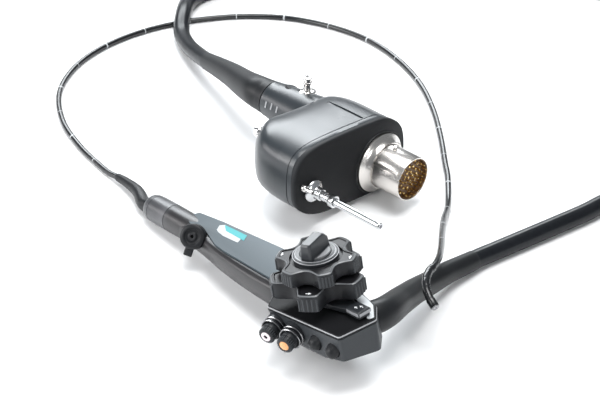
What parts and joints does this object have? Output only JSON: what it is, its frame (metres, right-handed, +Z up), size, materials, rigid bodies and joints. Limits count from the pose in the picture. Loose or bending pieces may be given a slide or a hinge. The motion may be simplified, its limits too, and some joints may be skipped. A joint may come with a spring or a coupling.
{
  "type": "flexible endoscope",
  "caption": "Flexible endoscope: control body with two finger wheels, thin insertion tube with a hinged bending tip, universal cord and light source connector.",
  "frame": {"origin": "middle of the flat rest pad under the control head, on the floor", "axes": "+Z up, away from the floor; +X to the right and +Y away, as the object lies in the picture"},
  "size_m": [0.5863, 0.6058, 0.0857],
  "materials": {
    "air_water_mark": "satin moulding",
    "black_plastic": "fine satin moulding",
    "black_rubber": "matt moulded rubber",
    "brown_insulator": "matt moulded insulator",
    "chrome": "polished",
    "gold": "plated contact",
    "green_board": "coated circuit board",
    "grey_plastic": "smooth satin moulding",
    "lens_glass": "polished glass",
    "pale_plastic": "smooth satin moulding",
    "steel": "satin turned",
    "suction_mark": "satin moulding",
    "tube_skin": "smooth glossy polymer skin"
  },
  "bodies": {
    "control_body": {"air_pipe": "steel", "air_water_cylinder": "black_plastic", "air_water_spring": "steel", "bayonet_stud": "chrome", "bending_base": "steel", "channel_cap": "black_rubber", "channel_port": "chrome", "chassis_plate": "steel", "connector_board": "green_board", "connector_boot": "black_rubber", "connector_face_plate": "black_plastic", "connector_neck": "grey_plastic", "connector_shell": "grey_plastic", "cord_boot": "black_rubber", "grip_end_ring": "pale_plastic", "grip_shell": "black_plastic", "grip_top_plate": "grey_plastic", "head_cover": "black_plastic", "head_housing": "black_plastic", "head_trim": "pale_plastic", "insertion_boot": "black_rubber", "insertion_tube": "tube_skin", "light_guide_base": "steel", "light_guide_rod": "chrome", "plug_key": "chrome", "rod_collar": "chrome", "suction_cylinder": "black_plastic", "suction_spring": "steel", "universal_cord_coil": "black_rubber", "universal_cord_connector_run": "black_rubber", "universal_cord_head_run": "black_rubber", "vent_port": "chrome", "video_contacts": "gold", "video_plug_base": "chrome", "video_plug_insert": "brown_insulator", "video_plug_sleeve": "chrome", "water_port": "chrome", "wheel_axle": "steel"},
    "ud_wheel": {"ud_wheel": "black_plastic", "ud_drum": "steel"},
    "lr_wheel": {"lr_wheel": "black_plastic", "lr_drum": "steel"},
    "lr_brake_knob": {"lr_brake_knob": "black_plastic"},
    "ud_brake_lever": {"ud_brake_lever": "black_plastic"},
    "suction_button": {"suction_button": "suction_mark"},
    "air_water_button": {"air_water_button": "air_water_mark"},
    "remote_switch_1": {"remote_switch_1": "black_rubber"},
    "remote_switch_2": {"remote_switch_2": "black_rubber"},
    "bending_link_1": {"bending_link_1": "steel"},
    "bending_link_2": {"bending_link_2": "steel"},
    "bending_link_3": {"bending_link_3": "steel"},
    "bending_link_4": {"bending_link_4": "steel"},
    "bending_link_5": {"bending_link_5": "steel"},
    "bending_link_6": {"bending_link_6": "steel"},
    "bending_link_7": {"bending_link_7": "steel"},
    "bending_link_8": {"bending_link_8": "steel"},
    "distal_tip": {"distal_tip": "chrome", "objective_lens": "lens_glass", "light_guide_left": "lens_glass", "light_guide_right": "lens_glass"}
  },
  "joints": [
    {"name": "up_down_wheel_turn", "type": "hinge", "parent": "control_body", "child": "ud_wheel", "pos_m": [0, -0.014, 0.041], "axis": [-0.1376, 0.0371, 0.9898], "range_deg": [-120, 120]},
    {"name": "left_right_wheel_turn", "type": "hinge", "parent": "control_body", "child": "lr_wheel", "pos_m": [0, -0.014, 0.041], "axis": [-0.1376, 0.0371, 0.9898], "range_deg": [-90, 90]},
    {"name": "left_right_brake_turn", "type": "hinge", "parent": "control_body", "child": "lr_brake_knob", "pos_m": [0, -0.014, 0.041], "axis": [-0.1376, 0.0371, 0.9898], "range_deg": [0, 50]},
    {"name": "up_down_brake_swing", "type": "hinge", "parent": "control_body", "child": "ud_brake_lever", "pos_m": [0, -0.014, 0.041], "axis": [-0.1376, 0.0371, 0.9898], "range_deg": [0, 48]},
    {"name": "suction_press", "type": "slide", "parent": "control_body", "child": "suction_button", "axis": [0.5074, 0.8498, 0.1431], "range_m": [0, 0.0045], "stiffness_N_per_m": 300, "springref_m": -0.001, "deforming": ["suction_spring"]},
    {"name": "air_water_press", "type": "slide", "parent": "control_body", "child": "air_water_button", "axis": [0.5074, 0.8498, 0.1431], "range_m": [0, 0.0045], "stiffness_N_per_m": 300, "springref_m": -0.001, "deforming": ["air_water_spring"]},
    {"name": "switch_1_press", "type": "slide", "parent": "control_body", "child": "remote_switch_1", "axis": [0.6151, 0.6768, 0.4045], "range_m": [0, 0.001], "stiffness_N_per_m": 500, "springref_m": -0.001},
    {"name": "switch_2_press", "type": "slide", "parent": "control_body", "child": "remote_switch_2", "axis": [0.6151, 0.6768, 0.4045], "range_m": [0, 0.001], "stiffness_N_per_m": 500, "springref_m": -0.001},
    {"name": "bend_up_down_1", "type": "hinge", "parent": "control_body", "child": "bending_link_1", "pos_m": [0.069, 0.016, 0.042], "axis": [0.4288, -0.2187, 0.8765], "range_deg": [-30, 30]},
    {"name": "bend_left_right_1", "type": "hinge", "parent": "bending_link_1", "child": "bending_link_2", "pos_m": [0.06794, 0.01289, 0.04174], "axis": [0.8446, -0.2473, -0.4749], "range_deg": [-20, 20]},
    {"name": "bend_up_down_2", "type": "hinge", "parent": "bending_link_2", "child": "bending_link_3", "pos_m": [0.06688, 0.00977, 0.04148], "axis": [0.4288, -0.2187, 0.8765], "range_deg": [-30, 30]},
    {"name": "bend_left_right_2", "type": "hinge", "parent": "bending_link_3", "child": "bending_link_4", "pos_m": [0.06648, 0.00655, 0.04088], "axis": [0.8951, -0.0286, -0.445], "range_deg": [-20, 20]},
    {"name": "bend_up_down_3", "type": "hinge", "parent": "bending_link_4", "child": "bending_link_5", "pos_m": [0.06608, 0.00333, 0.04027], "axis": [0.4288, -0.2187, 0.8765], "range_deg": [-30, 30]},
    {"name": "bend_left_right_3", "type": "hinge", "parent": "bending_link_5", "child": "bending_link_6", "pos_m": [0.06635, 0.00017, 0.03935], "axis": [0.8997, 0.1915, -0.3923], "range_deg": [-20, 20]},
    {"name": "bend_up_down_4", "type": "hinge", "parent": "bending_link_6", "child": "bending_link_7", "pos_m": [0.06662, -0.00298, 0.03843], "axis": [0.4288, -0.2187, 0.8765], "range_deg": [-30, 30]},
    {"name": "bend_left_right_4", "type": "hinge", "parent": "bending_link_7", "child": "bending_link_8", "pos_m": [0.06755, -0.00592, 0.03724], "axis": [0.8581, 0.4019, -0.3195], "range_deg": [-20, 20]},
    {"name": "bend_up_down_5", "type": "hinge", "parent": "bending_link_8", "child": "distal_tip", "pos_m": [0.06848, -0.00885, 0.03605], "axis": [0.4288, -0.2187, 0.8765], "range_deg": [-30, 30]}
  ],
  "couplings": [
    {"joint": "bend_up_down_1", "follows": "up_down_wheel_turn", "ratio": 0.25},
    {"joint": "bend_left_right_1", "follows": "left_right_wheel_turn", "ratio": 0.22222},
    {"joint": "bend_up_down_2", "follows": "up_down_wheel_turn", "ratio": 0.25},
    {"joint": "bend_left_right_2", "follows": "left_right_wheel_turn", "ratio": 0.22222},
    {"joint": "bend_up_down_3", "follows": "up_down_wheel_turn", "ratio": 0.25},
    {"joint": "bend_left_right_3", "follows": "left_right_wheel_turn", "ratio": 0.22222},
    {"joint": "bend_up_down_4", "follows": "up_down_wheel_turn", "ratio": 0.25},
    {"joint": "bend_left_right_4", "follows": "left_right_wheel_turn", "ratio": 0.22222},
    {"joint": "bend_up_down_5", "follows": "up_down_wheel_turn", "ratio": 0.25}
  ]
}
